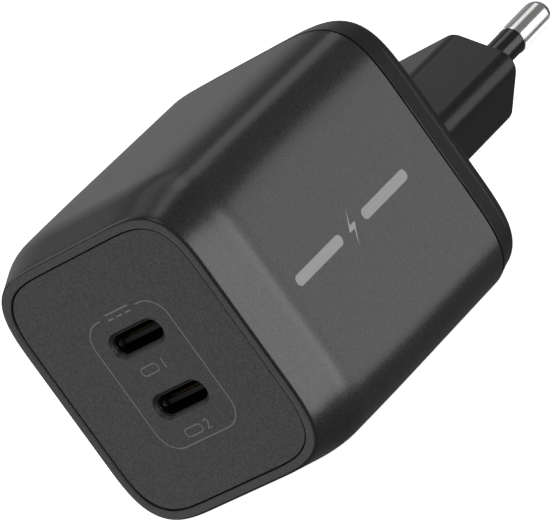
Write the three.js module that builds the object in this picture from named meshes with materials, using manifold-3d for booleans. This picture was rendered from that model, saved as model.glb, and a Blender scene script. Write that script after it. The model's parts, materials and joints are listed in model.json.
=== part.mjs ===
// Two-port wall charger with a fixed two-pin mains plug.
// Millimetres. Origin at the middle of the plug's end face, between the pins.
// +Y runs along the pins into the wall socket, +Z is up and -Y is the side with the ports.
import * as THREE from 'three';
import { mergeVertices } from 'three/addons/utils/BufferGeometryUtils.js';
import Module from 'manifold-3d';

const wasm = await Module();
wasm.setup();

// ---- housing ----
const BODY_WIDTH = 39.4;
const BODY_HEIGHT = 40.6;
const BODY_CORNER_REACH = 15.5;
const BODY_CORNER_POWER = 4;
const BODY_RISE = 0.4;
const HOUSING_LENGTH = 42.8;
const FRONT_WIDTH = 34.1;
const FRONT_HEIGHT = 37.2;
const FRONT_CORNER_REACH = 11;
const FRONT_CORNER_POWER = 3.3;
const FLARE_LENGTH = 6.1;
const FLARE_BLEND = 1.8;
const EDGE_ROUND = 0.4;
const WALL = 2;

// ---- port plate ----
const RIM_WIDTH = 1.25;
const PLATE_GAP = 0.35;
const PLATE_RECESS = 0.15;
const PLATE_THICKNESS = 1.6;
const LEDGE_WIDTH = 1.4;
const LEDGE_THICKNESS = 1.2;
const SEAT_GAP = 0.3;

// ---- ports ----
const PORT_COUNT = 2;
const PORT_PITCH = 9.2;
const PORT_SHIFT = 0.4;
const SLOT_WIDTH = 9.25;
const SLOT_HEIGHT = 3.55;
const SLOT_CLEARANCE = 0.16;
const SHELL_THICKNESS = 0.28;
const SHELL_LENGTH = 7.4;
const SHELL_RECESS = 0.5;
const INSULATOR_LENGTH = 2.2;
const INSULATOR_CLEARANCE = 0.15;
const TONGUE_WIDTH = 6.6;
const TONGUE_THICKNESS = 0.7;
const TONGUE_RECESS = 0.9;
const TONGUE_ROOT = 0.5;
const SLOT_END_FLAT = 0.002;

// ---- rear cover and plug ----
const SEAM_GAP = 0.3;
const COVER_DEPTH = 5.8;
const COVER_EDGE_RADIUS = 3.2;
const LIP_LENGTH = 3;
const LIP_THICKNESS = 1.2;
const LIP_CLEARANCE = 0.3;
const PLUG_LENGTH = 19.4;
const PLUG_VERTEX_WIDTH = 35.3;
const PLUG_HEIGHT = 13.4;
const PLUG_EDGE_RADIUS = 2.5;
const PLUG_END_RADIUS = 0.7;
const PLUG_WALL = 2.4;
const PLUG_FACE_THICKNESS = 3.2;

// ---- pins ----
const PIN_DIAMETER = 4;
const PIN_LENGTH = 19;
const PIN_SPACING = 19;
const PIN_LEAN_DEGREES = 1.3;
const PIN_CORE_DIAMETER = 2.6;
const PIN_TAIL_LENGTH = 6;
const SLEEVE_LENGTH = 10;
const SLEEVE_DIAMETER = 3.8;
const SLEEVE_CLEARANCE = 0.2;
const BORE_CLEARANCE = 0.3;

// ---- boards and what stands on them ----
const BOARD_THICKNESS = 1.2;
const BOARD_CORNER = 2;
const BOARD_MARGIN = 2.6;
const MOUNT_GAP = 0.3;
const INPUT_BOARD_SETBACK = 1.2;
const MAIN_BOARD_MARGIN = 2.7;
const MAIN_BOARD_FLOOR_GAP = 2.3;
const MAIN_BOARD_THICKNESS = 1.6;
const TRANSFORMER_WIDTH = 25;
const TRANSFORMER_DEPTH = 13;
const TRANSFORMER_HEIGHT = 19;
const CORE_PLATE = 4.2;
const CORE_LEG = 3.6;
const WINDING_RADIUS = 6;
const BOBBIN_RADIUS = 4;
const BOBBIN_FLANGE = 0.8;
const CAPACITOR_DIAMETER = 9.5;
const CAPACITOR_HEIGHT = 16;
const CAPACITOR_SPACING = 10;
const OUTPUT_CAPACITOR_DIAMETER = 6;
const OUTPUT_CAPACITOR_HEIGHT = 9;
const CAN_GROOVE_DEPTH = 0.3;
const CAN_GROOVE_HEIGHT = 1.8;
const CAN_GROOVE_HALF_WIDTH = 0.4;
const CAN_SHOULDER = 0.5;
const CHIP_HEIGHT = 1.4;
const POWER_CHIP_WIDTH = 5;
const POWER_CHIP_GAP = 1;
const CHOKE_RADIUS = 5.6;
const CHOKE_HOLE_RADIUS = 2.5;
const CHOKE_DEPTH = 4.4;
const CHOKE_TURN_COVER = 0.9;
const CHOKE_WINDING_DEGREES = 126;
const FUSE_RADIUS = 1.8;
const FUSE_LENGTH = 7.5;
const DISC_RADIUS = 3;
const DISC_DEPTH = 2.6;
const DISC_ROUND = 0.8;
const BRIDGE_WIDTH = 8;
const BRIDGE_DEPTH = 2;
const BRIDGE_HEIGHT = 7;
const BRIDGE_TOP_GAP = 1;
const CONTROLLER_WIDTH = 5;
const COIL_WIDTH = 6.6;
const COIL_DEPTH = 3;
const COIL_GAP = 4;
const OPTOCOUPLER_WIDTH = 4.4;
const OPTOCOUPLER_DEPTH = 2;
const OPTOCOUPLER_HEIGHT = 3.6;
const LEAD_DIAMETER = 1.6;
const LEAD_BEND_AT_PIN = 5;
const LEAD_BEND_AT_BOARD = 6;
const LEAD_PAD_OFFSET = 7;
const LEAD_PAD_DROP = 3;
const SPREADER_THICKNESS = 0.6;
const FILM_THICKNESS = 0.4;
const FILM_END_MARGIN = 1;

// ---- smoothness ----
const CORNER_STEPS = 12;
const ROUND_STEPS = 24;
const PIN_STEPS = 24;
const PIN_TIP_STEPS = 5;
const COVER_EDGE_STEPS = 5;
const PLUG_END_STEPS = 3;
const PLUG_CORNER_STEPS = 4;
const SLOT_END_STEPS = 6;
const BOARD_CORNER_STEPS = 3;
const SMALL_ROUND_STEPS = 16;
const WINDING_STEPS = 12;
const LEAD_SIDES = 8;
const LEAD_STEPS = 10;

// How far a cutting solid runs past the face that it cuts.
const CUT_OVERRUN = 1;

// ---- places worked out from the sizes above ----
const yPlugFace = 0;
const yCoverBack = yPlugFace - PLUG_LENGTH;
const ySeam = yCoverBack - COVER_DEPTH;
const yFront = ySeam - HOUSING_LENGTH;
const yPlateFront = yFront + PLATE_RECESS;
const yPlateBack = yPlateFront + PLATE_THICKNESS;
const yLedge = yPlateBack + SEAT_GAP;
const yLedgeBack = yLedge + LEDGE_THICKNESS;
const yShellFront = yPlateFront + SHELL_RECESS;
const yShellBack = yShellFront + SHELL_LENGTH;
const yPortBoard = yShellBack + MOUNT_GAP;
const yPortBoardBack = yPortBoard + BOARD_THICKNESS;
const yInputBoardBack = ySeam + INPUT_BOARD_SETBACK;
const yInputBoard = yInputBoardBack - BOARD_THICKNESS;
const innerWidth = BODY_WIDTH - 2 * WALL;
const innerHeight = BODY_HEIGHT - 2 * WALL;
const mainBoardWidth = innerWidth - 2 * MAIN_BOARD_MARGIN;
const zMainUnder = BODY_RISE - innerHeight / 2 + MAIN_BOARD_FLOOR_GAP;
const zMainSeat = zMainUnder + MAIN_BOARD_THICKNESS + MOUNT_GAP;
const plateWidth = FRONT_WIDTH - 2 * RIM_WIDTH - 2 * PLATE_GAP;
const plateHeight = FRONT_HEIGHT - 2 * RIM_WIDTH - 2 * PLATE_GAP;
const plateReach = FRONT_CORNER_REACH - RIM_WIDTH - PLATE_GAP;

// ---- surfaces of the real materials ----
function surface(color, roughness, metalness) {
  return new THREE.MeshStandardMaterial({ color, roughness, metalness });
}
const housingPlastic = surface(0x4a4a4b, 0.55, 0);
const platePlastic = surface(0x3c3c3d, 0.62, 0);
const coverPlastic = surface(0x2c2c2d, 0.5, 0);
const sleevePlastic = surface(0x0d0d0e, 0.25, 0);
const portPlastic = surface(0x141415, 0.4, 0);
const nickel = surface(0xc9c7c2, 0.18, 1);
const blackSteel = surface(0x2a2a2c, 0.3, 0.8);
const laminate = surface(0x14502f, 0.5, 0);
const ferrite = surface(0x2d2d30, 0.7, 0);
const copper = surface(0xb56a3a, 0.35, 0.9);
const tape = surface(0xd8b030, 0.5, 0);
const bobbinResin = surface(0x1c1c1e, 0.5, 0);
const canSleeve = surface(0x22344f, 0.4, 0);
const aluminium = surface(0xbfc1c4, 0.35, 1);
const boxResin = surface(0xc9b458, 0.5, 0);
const discResin = surface(0x2f5aa0, 0.45, 0);
const thermistorResin = surface(0x24402c, 0.5, 0);
const moulded = surface(0x17171a, 0.45, 0);
const wireBrown = surface(0x5a3420, 0.5, 0);
const wireBlue = surface(0x23488a, 0.5, 0);
const film = surface(0xd9c88a, 0.4, 0);

// ---- outlines in the X-Z plane ----
// A rectangle whose corners follow a superellipse, as a list of points going round once.
function softRectangle(width, height, reach, power, steps = CORNER_STEPS) {
  const points = [];
  const corners = [[1, 1], [-1, 1], [-1, -1], [1, -1]];
  corners.forEach(([sideX, sideZ], index) => {
    for (let step = 0; step <= steps; step += 1) {
      const angle = (index + step / steps) * Math.PI / 2;
      const c = Math.abs(Math.cos(angle));
      const s = Math.abs(Math.sin(angle));
      const radius = reach / (c ** power + s ** power) ** (1 / power);
      const x = sideX * (width / 2 - reach + radius * c);
      const z = sideZ * (height / 2 - reach + radius * s);
      points.push(new THREE.Vector2(x, z));
    }
  });
  return points;
}

// A polygon whose corners are rounded by arcs of one radius.
function roundedPolygon(corners, radius, steps = PLUG_CORNER_STEPS) {
  const points = [];
  corners.forEach((corner, index) => {
    const before = corners[(index + corners.length - 1) % corners.length];
    const after = corners[(index + 1) % corners.length];
    const toBefore = before.clone().sub(corner).normalize();
    const toAfter = after.clone().sub(corner).normalize();
    const half = Math.acos(toBefore.dot(toAfter)) / 2;
    const centre = toBefore.clone().add(toAfter).normalize()
      .multiplyScalar(radius / Math.sin(half)).add(corner);
    const start = toBefore.multiplyScalar(radius / Math.tan(half)).add(corner).sub(centre);
    const sweep = Math.PI - 2 * half;
    for (let step = 0; step <= steps; step += 1) {
      points.push(start.clone().rotateAround(new THREE.Vector2(), sweep * step / steps).add(centre));
    }
  });
  return points;
}

// The plug's six-sided outline, smaller all round by an inset.
function plugOutline(inset, radius) {
  const halfHeight = PLUG_HEIGHT / 2 - inset;
  const halfWidth = PLUG_VERTEX_WIDTH / 2 - inset * Math.SQRT2;
  const flat = halfWidth - halfHeight;
  const corners = [[halfWidth, 0], [flat, halfHeight], [-flat, halfHeight],
    [-halfWidth, 0], [-flat, -halfHeight], [flat, -halfHeight]];
  return roundedPolygon(corners.map(([x, z]) => new THREE.Vector2(x, z)), radius);
}

// A slot with half-round ends.
function slotOutline(width, height) {
  return softRectangle(width, height, (height - SLOT_END_FLAT) / 2, 2, SLOT_END_STEPS);
}

// An outline as points at one place along Y.
function ring(outline, y, rise = 0) {
  return outline.map((point) => new THREE.Vector3(point.x, y, point.y + rise));
}

// ---- solids ----
// Skin over a list of rings. A looped list closes on itself; any other gets two flat ends.
function skin(rings, looped) {
  const count = rings[0].length;
  const positions = rings.flat();
  const index = [];
  const bands = looped ? rings.length : rings.length - 1;
  for (let band = 0; band < bands; band += 1) {
    const here = band * count;
    const next = ((band + 1) % rings.length) * count;
    for (let side = 0; side < count; side += 1) {
      const along = (side + 1) % count;
      index.push(here + side, next + side, here + along);
      index.push(here + along, next + side, next + along);
    }
  }
  if (!looped) {
    [0, rings.length - 1].forEach((end) => {
      const middle = positions.length;
      const sum = rings[end].reduce((total, point) => total.add(point), new THREE.Vector3());
      positions.push(sum.divideScalar(count));
      for (let side = 0; side < count; side += 1) {
        const along = (side + 1) % count;
        const pair = end === 0 ? [side, along] : [along, side];
        index.push(middle, end * count + pair[0], end * count + pair[1]);
      }
    });
  }
  const geometry = new THREE.BufferGeometry().setFromPoints(positions);
  geometry.setIndex(index);
  return facingOut(geometry);
}

function facingOut(geometry) {
  const place = geometry.getAttribute('position');
  const order = geometry.getIndex();
  const corner = [0, 1, 2].map(() => new THREE.Vector3());
  let volume = 0;
  for (let face = 0; face < order.count; face += 3) {
    corner.forEach((point, at) => point.fromBufferAttribute(place, order.getX(face + at)));
    volume += corner[0].dot(corner[1].clone().cross(corner[2]));
  }
  if (volume < 0) {
    for (let face = 0; face < order.count; face += 3) {
      const first = order.getX(face);
      order.setX(face, order.getX(face + 1));
      order.setX(face + 1, first);
    }
  }
  return geometry;
}

function toSolid(geometry) {
  const bare = new THREE.BufferGeometry();
  bare.setAttribute('position', geometry.getAttribute('position').clone());
  if (geometry.getIndex()) {
    bare.setIndex(geometry.getIndex().clone());
  }
  const merged = mergeVertices(bare, 1e-4);
  const mesh = new wasm.Mesh({
    numProp: 3,
    vertProperties: new Float32Array(merged.getAttribute('position').array),
    triVerts: new Uint32Array(merged.getIndex().array),
  });
  return new wasm.Manifold(mesh);
}

function toGeometry(solid) {
  const mesh = solid.getMesh();
  const geometry = new THREE.BufferGeometry();
  geometry.setAttribute('position', new THREE.BufferAttribute(new Float32Array(mesh.vertProperties), 3));
  geometry.setIndex(new THREE.BufferAttribute(new Uint32Array(mesh.triVerts), 1));
  return geometry;
}

function join(first, ...others) {
  return toGeometry(others.reduce((solid, other) => solid.add(toSolid(other)), toSolid(first)));
}

function cut(first, ...others) {
  return toGeometry(others.reduce((solid, other) => solid.subtract(toSolid(other)), toSolid(first)));
}

function prismAlongY(outline, yStart, yEnd, rise = 0) {
  return skin([ring(outline, yStart, rise), ring(outline, yEnd, rise)], false);
}

function block(width, depth, height, x, y, z) {
  return new THREE.BoxGeometry(width, depth, height).translate(x, y, z);
}

// A turned piece standing on its base along +Z, from pairs of radius and height.
function turned(profile, x, y, z, steps = ROUND_STEPS) {
  const points = profile.map(([radius, height]) => new THREE.Vector2(radius, height));
  return new THREE.LatheGeometry(points, steps).rotateX(Math.PI / 2).translate(x, y, z);
}

// A turned piece lying along +Y.
function turnedAlongY(profile, x, y, z, steps = ROUND_STEPS) {
  const points = profile.map(([radius, height]) => new THREE.Vector2(radius, height));
  return new THREE.LatheGeometry(points, steps).translate(x, y, z);
}

const charger = new THREE.Group();
function addPiece(name, geometry, material) {
  const mesh = new THREE.Mesh(geometry, material);
  mesh.name = name;
  charger.add(mesh);
  return mesh;
}

// ---- housing shell ----
// One sleeve: rim round the port plate, flare, straight sides, open at the back.
function frontOutline(inset) {
  return softRectangle(FRONT_WIDTH - 2 * inset, FRONT_HEIGHT - 2 * inset,
    FRONT_CORNER_REACH - inset, FRONT_CORNER_POWER);
}

function bodyOutline(inset) {
  return softRectangle(BODY_WIDTH - 2 * inset, BODY_HEIGHT - 2 * inset,
    BODY_CORNER_REACH - inset, BODY_CORNER_POWER);
}

function blendOutlines(from, to, share) {
  return from.map((point, index) => point.clone().lerp(to[index], share));
}

// Share of the flare reached at a distance behind the front: straight, then eased into the sides.
function flareShare(distance) {
  const start = FLARE_LENGTH - FLARE_BLEND;
  if (distance <= start) {
    return distance / FLARE_LENGTH;
  }
  const along = Math.min((distance - start) / (2 * FLARE_BLEND), 1);
  return (start + 2 * FLARE_BLEND * (along - along * along / 2)) / FLARE_LENGTH;
}

function housingShell() {
  const rings = [];
  const outerAt = (distance, inset) => ring(
    blendOutlines(frontOutline(inset), bodyOutline(inset), flareShare(distance)),
    yFront + distance, BODY_RISE);
  rings.push(ring(frontOutline(EDGE_ROUND), yFront, BODY_RISE));
  rings.push(outerAt(EDGE_ROUND, 0));
  const blendStart = FLARE_LENGTH - FLARE_BLEND;
  [0, 0.25, 0.5, 0.75, 1].forEach((share) => {
    rings.push(outerAt(blendStart + 2 * FLARE_BLEND * share, 0));
  });
  rings.push(ring(bodyOutline(0), ySeam - EDGE_ROUND - SEAM_GAP / 2, BODY_RISE));
  rings.push(ring(bodyOutline(EDGE_ROUND), ySeam - SEAM_GAP / 2, BODY_RISE));
  rings.push(ring(bodyOutline(WALL), ySeam - SEAM_GAP / 2, BODY_RISE));
  rings.push(ring(bodyOutline(WALL), yFront + FLARE_LENGTH + FLARE_BLEND, BODY_RISE));
  rings.push(outerAt(yLedgeBack - yFront, WALL));
  const ledgeInset = RIM_WIDTH + LEDGE_WIDTH;
  rings.push(ring(frontOutline(ledgeInset), yLedgeBack, BODY_RISE));
  rings.push(ring(frontOutline(ledgeInset), yLedge, BODY_RISE));
  rings.push(ring(frontOutline(RIM_WIDTH), yLedge, BODY_RISE));
  rings.push(ring(frontOutline(RIM_WIDTH), yFront, BODY_RISE));
  return skin(rings, true);
}
addPiece('housing_shell', housingShell(), housingPlastic);

// ---- port plate ----
const portHeights = Array.from({ length: PORT_COUNT },
  (_, index) => BODY_RISE + PORT_PITCH * ((PORT_COUNT - 1) / 2 - index));

function portPlate() {
  const outline = softRectangle(plateWidth, plateHeight, plateReach, FRONT_CORNER_POWER);
  const plate = prismAlongY(outline, yPlateFront, yPlateBack, BODY_RISE);
  const slots = portHeights.map((height) => prismAlongY(
    slotOutline(SLOT_WIDTH, SLOT_HEIGHT), yPlateFront - CUT_OVERRUN, yPlateBack + CUT_OVERRUN, height)
    .translate(PORT_SHIFT, 0, 0));
  return cut(plate, ...slots);
}
addPiece('port_plate', portPlate(), platePlastic);

// ---- charging sockets ----
const shellWidth = SLOT_WIDTH - 2 * SLOT_CLEARANCE;
const shellHeight = SLOT_HEIGHT - 2 * SLOT_CLEARANCE;
const mouthWidth = shellWidth - 2 * SHELL_THICKNESS;
const mouthHeight = shellHeight - 2 * SHELL_THICKNESS;

function socketShell(height) {
  const outer = slotOutline(shellWidth, shellHeight);
  const inner = slotOutline(mouthWidth, mouthHeight);
  const rings = [[outer, yShellFront], [outer, yShellBack], [inner, yShellBack], [inner, yShellFront]];
  return skin(rings.map(([outline, y]) => ring(outline, y, height)), true).translate(PORT_SHIFT, 0, 0);
}

function socketTongue(height) {
  const body = slotOutline(mouthWidth - 2 * INSULATOR_CLEARANCE, mouthHeight - 2 * INSULATOR_CLEARANCE);
  const yBody = yShellBack - INSULATOR_LENGTH;
  const yTip = yShellFront + TONGUE_RECESS;
  const base = prismAlongY(body, yBody, yShellBack, height);
  const yRoot = yBody + TONGUE_ROOT;
  const blade = block(TONGUE_WIDTH, yRoot - yTip, TONGUE_THICKNESS, 0, (yRoot + yTip) / 2, height);
  return join(base, blade).translate(PORT_SHIFT, 0, 0);
}

portHeights.forEach((height, index) => {
  addPiece(`socket_shell_${index + 1}`, socketShell(height), blackSteel);
  addPiece(`socket_tongue_${index + 1}`, socketTongue(height), portPlastic);
});

// ---- rear cover with the plug block ----
function coverOutside() {
  const rings = [ring(bodyOutline(EDGE_ROUND), ySeam + SEAM_GAP / 2, BODY_RISE)];
  rings.push(ring(bodyOutline(0), ySeam + SEAM_GAP / 2 + EDGE_ROUND, BODY_RISE));
  for (let step = 0; step <= COVER_EDGE_STEPS; step += 1) {
    const angle = step / COVER_EDGE_STEPS * Math.PI / 2;
    const inset = COVER_EDGE_RADIUS * (1 - Math.cos(angle));
    const y = yCoverBack - COVER_EDGE_RADIUS * (1 - Math.sin(angle));
    rings.push(ring(bodyOutline(inset), y, BODY_RISE));
  }
  return skin(rings, false);
}

function plugOutside() {
  const rings = [ring(plugOutline(0, PLUG_EDGE_RADIUS), yCoverBack - WALL / 2)];
  for (let step = 0; step <= PLUG_END_STEPS; step += 1) {
    const angle = step / PLUG_END_STEPS * Math.PI / 2;
    const inset = PLUG_END_RADIUS * (1 - Math.cos(angle));
    const y = yPlugFace - PLUG_END_RADIUS * (1 - Math.sin(angle));
    rings.push(ring(plugOutline(inset, PLUG_EDGE_RADIUS), y));
  }
  return skin(rings, false);
}

function pinCentre(side, y) {
  return side * (PIN_SPACING / 2 - Math.tan(THREE.MathUtils.degToRad(PIN_LEAN_DEGREES)) * y);
}

function rearCover() {
  const lipInset = WALL + LIP_CLEARANCE;
  const lip = prismAlongY(bodyOutline(lipInset), ySeam - LIP_LENGTH, ySeam + WALL, BODY_RISE);
  const capHollow = prismAlongY(bodyOutline(lipInset + LIP_THICKNESS),
    ySeam - LIP_LENGTH - CUT_OVERRUN, yCoverBack - WALL, BODY_RISE);
  const plugHollow = prismAlongY(plugOutline(PLUG_WALL, PLUG_EDGE_RADIUS / 2),
    yCoverBack - WALL - CUT_OVERRUN, yPlugFace - PLUG_FACE_THICKNESS);
  const boreRadius = SLEEVE_DIAMETER / 2 + BORE_CLEARANCE;
  const boreEnd = PLUG_FACE_THICKNESS + CUT_OVERRUN;
  const bores = [-1, 1].map((side) => turnedAlongY(
    [[0, -CUT_OVERRUN], [boreRadius, -CUT_OVERRUN], [boreRadius, boreEnd], [0, boreEnd]],
    pinCentre(side, 0), yPlugFace - PLUG_FACE_THICKNESS, 0, PIN_STEPS));
  return cut(join(coverOutside(), lip, plugOutside()), capHollow, plugHollow, ...bores);
}
addPiece('rear_cover', rearCover(), coverPlastic);

// ---- pins and their insulating sleeves ----
function pinBody() {
  const core = PIN_CORE_DIAMETER / 2;
  const radius = PIN_DIAMETER / 2;
  const bareStart = SLEEVE_LENGTH + SLEEVE_CLEARANCE;
  const profile = [[0, -PIN_TAIL_LENGTH], [core, -PIN_TAIL_LENGTH], [core, bareStart], [radius, bareStart]];
  for (let step = 0; step < PIN_TIP_STEPS; step += 1) {
    const angle = step / PIN_TIP_STEPS * Math.PI / 2;
    profile.push([radius * Math.cos(angle), PIN_LENGTH - radius + radius * Math.sin(angle)]);
  }
  profile.push([0, PIN_LENGTH]);
  return turnedAlongY(profile, 0, 0, 0, PIN_STEPS);
}

function pinSleeve() {
  const inner = PIN_CORE_DIAMETER / 2 + SLEEVE_CLEARANCE;
  const outer = SLEEVE_DIAMETER / 2;
  const start = -PLUG_FACE_THICKNESS / 2;
  const profile = [[inner, start], [outer, start], [outer, SLEEVE_LENGTH], [inner, SLEEVE_LENGTH], [inner, start]];
  return turnedAlongY(profile, 0, 0, 0, PIN_STEPS);
}

[['left', -1], ['right', 1]].forEach(([name, side]) => {
  const pieces = [
    addPiece(`pin_${name}`, pinBody(), nickel),
    addPiece(`pin_sleeve_${name}`, pinSleeve(), sleevePlastic),
  ];
  pieces.forEach((piece) => {
    piece.position.set(pinCentre(side, 0), yPlugFace, 0);
    piece.rotation.z = side * THREE.MathUtils.degToRad(PIN_LEAN_DEGREES);
  });
});

// ---- boards ----
function boardOutline(width, height) {
  return softRectangle(width, height, BOARD_CORNER, 2, BOARD_CORNER_STEPS);
}

const uprightBoardWidth = innerWidth - 2 * (LIP_CLEARANCE + LIP_THICKNESS) - 2 * BOARD_MARGIN;
const uprightBoardHeight = innerHeight - 2 * (LIP_CLEARANCE + LIP_THICKNESS) - 2 * BOARD_MARGIN;
addPiece('port_board', prismAlongY(boardOutline(uprightBoardWidth, uprightBoardHeight),
  yPortBoard, yPortBoardBack, BODY_RISE), laminate);
addPiece('input_board', prismAlongY(boardOutline(uprightBoardWidth, uprightBoardHeight),
  yInputBoard, yInputBoardBack, BODY_RISE), laminate);

const yMainFront = yPortBoardBack + MOUNT_GAP;
const yMainBack = ySeam - LIP_LENGTH - MOUNT_GAP;
const yMainMiddle = (yMainFront + yMainBack) / 2;
const mainBoard = new THREE.Shape(boardOutline(mainBoardWidth, yMainBack - yMainFront));
addPiece('main_board', new THREE.ExtrudeGeometry(mainBoard, { depth: MAIN_BOARD_THICKNESS, bevelEnabled: false })
  .translate(0, yMainMiddle, zMainUnder), laminate);

// ---- transformer: a bobbin with its winding between two ferrite halves ----
const yCapacitorRow = yMainBack - CAPACITOR_DIAMETER / 2;
const yTransformer = yCapacitorRow - CAPACITOR_DIAMETER / 2 - MOUNT_GAP - TRANSFORMER_DEPTH / 2;
const zTransformer = zMainSeat + TRANSFORMER_HEIGHT / 2;
const halfCoreHeight = (TRANSFORMER_HEIGHT - MOUNT_GAP) / 2;
const windowHeight = TRANSFORMER_HEIGHT - 2 * CORE_PLATE;
const postRadius = BOBBIN_RADIUS - BOBBIN_FLANGE - MOUNT_GAP;

// One ferrite half with its plate at the bottom: side legs and a round middle post stand on it.
function ferriteHalf() {
  const plate = block(TRANSFORMER_WIDTH, TRANSFORMER_DEPTH, CORE_PLATE, 0, 0, CORE_PLATE / 2);
  const legX = (TRANSFORMER_WIDTH - CORE_LEG) / 2;
  const legs = [-1, 1].map((side) => block(CORE_LEG, TRANSFORMER_DEPTH, halfCoreHeight,
    side * legX, 0, halfCoreHeight / 2));
  const postFoot = CORE_PLATE / 2;
  const post = turned(
    [[0, postFoot], [postRadius, postFoot], [postRadius, halfCoreHeight], [0, halfCoreHeight]], 0, 0, 0);
  return join(plate, ...legs, post);
}
const lowerCore = addPiece('transformer_core_lower', ferriteHalf(), ferrite);
lowerCore.position.set(0, yTransformer, zMainSeat);
const upperCore = addPiece('transformer_core_upper', ferriteHalf(), ferrite);
upperCore.position.set(0, yTransformer, zMainSeat + TRANSFORMER_HEIGHT);
upperCore.rotation.x = Math.PI;

const bobbinHalf = windowHeight / 2 - MOUNT_GAP;
const boreOfBobbin = postRadius + MOUNT_GAP;
const flangeRadius = Math.min(WINDING_RADIUS + BOBBIN_FLANGE, TRANSFORMER_DEPTH / 2);
addPiece('transformer_bobbin', turned([
  [boreOfBobbin, -bobbinHalf], [flangeRadius, -bobbinHalf], [flangeRadius, BOBBIN_FLANGE - bobbinHalf],
  [BOBBIN_RADIUS, BOBBIN_FLANGE - bobbinHalf], [BOBBIN_RADIUS, bobbinHalf - BOBBIN_FLANGE],
  [flangeRadius, bobbinHalf - BOBBIN_FLANGE], [flangeRadius, bobbinHalf], [boreOfBobbin, bobbinHalf],
  [boreOfBobbin, -bobbinHalf]], 0, yTransformer, zTransformer), bobbinResin);

const windingHalf = bobbinHalf - BOBBIN_FLANGE - MOUNT_GAP;
const windingBore = BOBBIN_RADIUS + MOUNT_GAP;
addPiece('transformer_winding', turned([
  [windingBore, -windingHalf], [WINDING_RADIUS, -windingHalf], [WINDING_RADIUS, windingHalf],
  [windingBore, windingHalf], [windingBore, -windingHalf]], 0, yTransformer, zTransformer), tape);

// ---- capacitors standing on the main board ----
function roundCan(diameter, height, x, y) {
  const radius = diameter / 2;
  const grooveStart = CAN_GROOVE_HEIGHT - CAN_GROOVE_HALF_WIDTH;
  const grooveEnd = CAN_GROOVE_HEIGHT + CAN_GROOVE_HALF_WIDTH;
  const profile = [[0, 0], [radius, 0], [radius, grooveStart],
    [radius - CAN_GROOVE_DEPTH, CAN_GROOVE_HEIGHT], [radius, grooveEnd],
    [radius, height - CAN_SHOULDER], [radius - CAN_SHOULDER, height], [0, height]];
  return turned(profile, x, y, zMainSeat);
}
[-1, 0, 1].forEach((column, index) => {
  addPiece(`bulk_capacitor_${index + 1}`,
    roundCan(CAPACITOR_DIAMETER, CAPACITOR_HEIGHT, column * CAPACITOR_SPACING, yCapacitorRow), canSleeve);
});

const yFrontRow = yTransformer - TRANSFORMER_DEPTH / 2 - MOUNT_GAP - OUTPUT_CAPACITOR_DIAMETER / 2;
[-1, 1].forEach((side, index) => {
  const x = side * (OUTPUT_CAPACITOR_DIAMETER / 2 + MOUNT_GAP);
  addPiece(`output_capacitor_${index + 1}`,
    roundCan(OUTPUT_CAPACITOR_DIAMETER, OUTPUT_CAPACITOR_HEIGHT, x, yFrontRow), aluminium);
});

// ---- small parts on the main board ----
function powerChip(x) {
  return block(POWER_CHIP_WIDTH, POWER_CHIP_WIDTH, CHIP_HEIGHT, x, yFrontRow, zMainSeat + CHIP_HEIGHT / 2);
}
const xSideColumn = OUTPUT_CAPACITOR_DIAMETER + 2 * MOUNT_GAP + POWER_CHIP_GAP + POWER_CHIP_WIDTH / 2;
addPiece('power_switch', powerChip(-xSideColumn), moulded);
addPiece('output_rectifier', powerChip(xSideColumn), moulded);

// ---- parts on the input board, above the row of large capacitors ----
const zUpperDeck = zMainSeat + CAPACITOR_HEIGHT + MOUNT_GAP;
const deckHeight = BODY_RISE + uprightBoardHeight / 2 - zUpperDeck;
const yDeck = yInputBoard - MOUNT_GAP;

const zChoke = zUpperDeck + CHOKE_RADIUS + CHOKE_TURN_COVER + MOUNT_GAP;
const yChoke = yDeck - MOUNT_GAP - CHOKE_DEPTH / 2 - CHOKE_TURN_COVER;
addPiece('choke_core', turnedAlongY([
  [CHOKE_HOLE_RADIUS, -CHOKE_DEPTH / 2], [CHOKE_RADIUS, -CHOKE_DEPTH / 2], [CHOKE_RADIUS, CHOKE_DEPTH / 2],
  [CHOKE_HOLE_RADIUS, CHOKE_DEPTH / 2], [CHOKE_HOLE_RADIUS, -CHOKE_DEPTH / 2]], 0, yChoke, zChoke), ferrite);

// Each winding covers one side of the ring: a thick jacket with the ring's own space cut out of it.
function chokeWinding(side) {
  const outer = CHOKE_RADIUS + CHOKE_TURN_COVER;
  const inner = CHOKE_HOLE_RADIUS - CHOKE_TURN_COVER;
  const half = CHOKE_DEPTH / 2 + CHOKE_TURN_COVER;
  const gap = MOUNT_GAP / 2;
  const sweep = THREE.MathUtils.degToRad(CHOKE_WINDING_DEGREES);
  const start = side * Math.PI / 2 - sweep / 2;
  const overrun = sweep / WINDING_STEPS;
  const jacket = [[inner, -half], [outer, -half], [outer, half], [inner, half]];
  const room = [[CHOKE_HOLE_RADIUS - gap, -CHOKE_DEPTH / 2 - gap], [CHOKE_RADIUS + gap, -CHOKE_DEPTH / 2 - gap],
    [CHOKE_RADIUS + gap, CHOKE_DEPTH / 2 + gap], [CHOKE_HOLE_RADIUS - gap, CHOKE_DEPTH / 2 + gap]];
  const sector = (profile, from, span) => skin(Array.from({ length: WINDING_STEPS + 1 }, (_, step) => {
    const angle = from + span * step / WINDING_STEPS;
    return profile.map(([radius, y]) => new THREE.Vector3(radius * Math.sin(angle), y, radius * Math.cos(angle)));
  }), false);
  const cover = sector(jacket, start, sweep);
  const hollow = sector(room, start - overrun, sweep + 2 * overrun);
  return cut(cover, hollow).translate(0, yChoke, zChoke);
}
addPiece('choke_winding_left', chokeWinding(-1), copper);
addPiece('choke_winding_right', chokeWinding(1), copper);

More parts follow.
